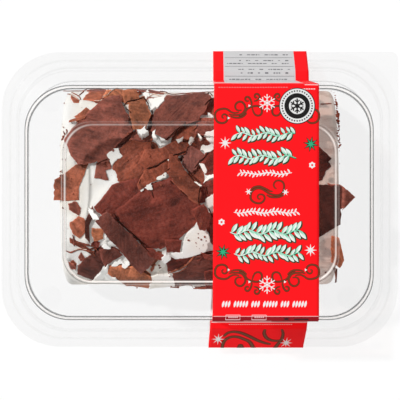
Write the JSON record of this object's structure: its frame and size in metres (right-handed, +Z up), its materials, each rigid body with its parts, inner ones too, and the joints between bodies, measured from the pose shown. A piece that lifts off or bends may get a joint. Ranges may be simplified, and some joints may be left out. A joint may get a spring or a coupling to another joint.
{
  "type": "yule log cake in a clear pack",
  "caption": "Iced yule log cake strewn with broken chocolate shards, in a shut clear tray and lid held by a red paper band with a winter pattern.",
  "frame": {"origin": "centre of the pack's base, on the surface it stands on", "axes": "+X along the log and the pack's long side, +Y towards the side of the tray's square tab, +Z up"},
  "size_m": [0.2766, 0.207, 0.0907],
  "materials": {
    "clear_plastic": "clear, smooth and glossy",
    "printed_paper": "coated paper, bright red print outside, white inside",
    "white_icing": "smooth spread white icing, soft sheen",
    "tan_chocolate": "thin chocolate, satin, with a grainy broken edge",
    "milk_chocolate": "thin chocolate, satin, with a grainy broken edge",
    "russet_chocolate": "thin chocolate, satin, with a grainy broken edge",
    "brown_chocolate": "thin chocolate, satin, with a grainy broken edge",
    "bloomed_chocolate": "thin chocolate, satin, with a grainy broken edge",
    "dark_chocolate": "thin chocolate, satin, with a grainy broken edge",
    "bitter_chocolate": "thin chocolate, satin, with a grainy broken edge"
  },
  "bodies": {
    "root": {"clear_tray": "clear_plastic", "clear_lid": "clear_plastic", "paper_band": "printed_paper", "iced_log": "white_icing", "shard_01": "milk_chocolate", "shard_02": "milk_chocolate", "shard_03": "russet_chocolate", "shard_04": "russet_chocolate", "shard_05": "milk_chocolate", "shard_06": "tan_chocolate", "shard_07": "brown_chocolate", "shard_08": "russet_chocolate", "shard_09": "brown_chocolate", "shard_10": "milk_chocolate", "shard_11": "tan_chocolate", "shard_12": "brown_chocolate", "shard_13": "russet_chocolate", "shard_14": "russet_chocolate", "shard_15": "tan_chocolate", "shard_16": "tan_chocolate", "shard_17": "brown_chocolate", "shard_18": "bloomed_chocolate", "shard_19": "dark_chocolate", "shard_20": "dark_chocolate", "shard_21": "brown_chocolate", "shard_22": "dark_chocolate", "shard_23": "dark_chocolate", "shard_24": "brown_chocolate", "shard_25": "brown_chocolate", "shard_26": "dark_chocolate", "shard_27": "dark_chocolate", "shard_28": "dark_chocolate", "shard_29": "bitter_chocolate", "shard_30": "tan_chocolate", "shard_31": "bitter_chocolate", "shard_32": "bitter_chocolate", "shard_33": "dark_chocolate", "shard_34": "bitter_chocolate", "shard_35": "dark_chocolate", "shard_36": "russet_chocolate", "shard_37": "dark_chocolate", "shard_38": "bitter_chocolate", "shard_39": "tan_chocolate", "shard_40": "russet_chocolate", "shard_41": "russet_chocolate", "shard_42": "brown_chocolate", "shard_43": "dark_chocolate", "shard_44": "milk_chocolate"}
  },
  "joints": []
}
